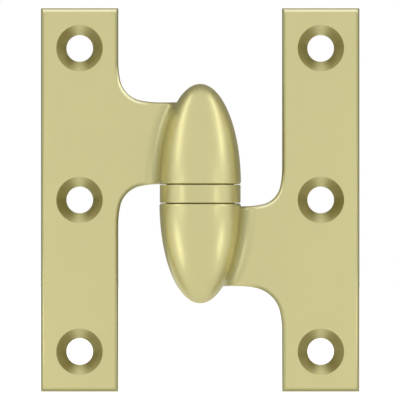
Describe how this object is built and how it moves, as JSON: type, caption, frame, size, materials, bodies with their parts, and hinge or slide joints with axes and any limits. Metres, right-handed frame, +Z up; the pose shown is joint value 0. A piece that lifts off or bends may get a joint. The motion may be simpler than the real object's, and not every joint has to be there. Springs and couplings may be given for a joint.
{
  "type": "olive knuckle hinge",
  "caption": "Lift-off door hinge with two olive knuckles on a fixed pin, a ball bearing ring between them and countersunk leaves.",
  "frame": {"origin": "on the pin's axis, at half the height of the leaves", "axes": "+Z up along the pin, -Y the side that the countersunk faces look to when open, -X the door leaf, +X the frame leaf"},
  "size_m": [0.0632, 0.0162, 0.0762],
  "materials": {
    "brass_leaf": "satin polished brass",
    "brass_ring": "satin turned brass",
    "cage_brass": "plain stamped brass",
    "pin_steel": "ground",
    "bearing_steel": "polished"
  },
  "bodies": {
    "frame_half": {"frame_leaf": "brass_leaf", "pin": "pin_steel", "bearing_case": "brass_ring", "lower_race": "bearing_steel"},
    "race_turn": {"upper_race": "bearing_steel"},
    "door_half": {"door_leaf": "brass_leaf"},
    "cage_turn": {"ball_cage": "cage_brass", "ball_01": "bearing_steel", "ball_02": "bearing_steel", "ball_03": "bearing_steel", "ball_04": "bearing_steel", "ball_05": "bearing_steel", "ball_06": "bearing_steel", "ball_07": "bearing_steel", "ball_08": "bearing_steel", "ball_09": "bearing_steel", "ball_10": "bearing_steel", "ball_11": "bearing_steel", "ball_12": "bearing_steel", "ball_13": "bearing_steel", "ball_14": "bearing_steel"}
  },
  "joints": [
    {"name": "leaf_swing", "type": "hinge", "parent": "frame_half", "child": "race_turn", "pos_m": [0, 0, 0], "axis": [0, 0, 1], "range_deg": [-150, 180]},
    {"name": "lift_off", "type": "slide", "parent": "race_turn", "child": "door_half", "axis": [0, 0, 1], "range_m": [0, 0.016]},
    {"name": "cage_orbit", "type": "hinge", "parent": "frame_half", "child": "cage_turn", "pos_m": [0, 0, 0], "axis": [0, 0, 1], "range_deg": [-75, 90]}
  ],
  "couplings": [
    {"joint": "cage_orbit", "follows": "leaf_swing", "ratio": 0.5}
  ]
}
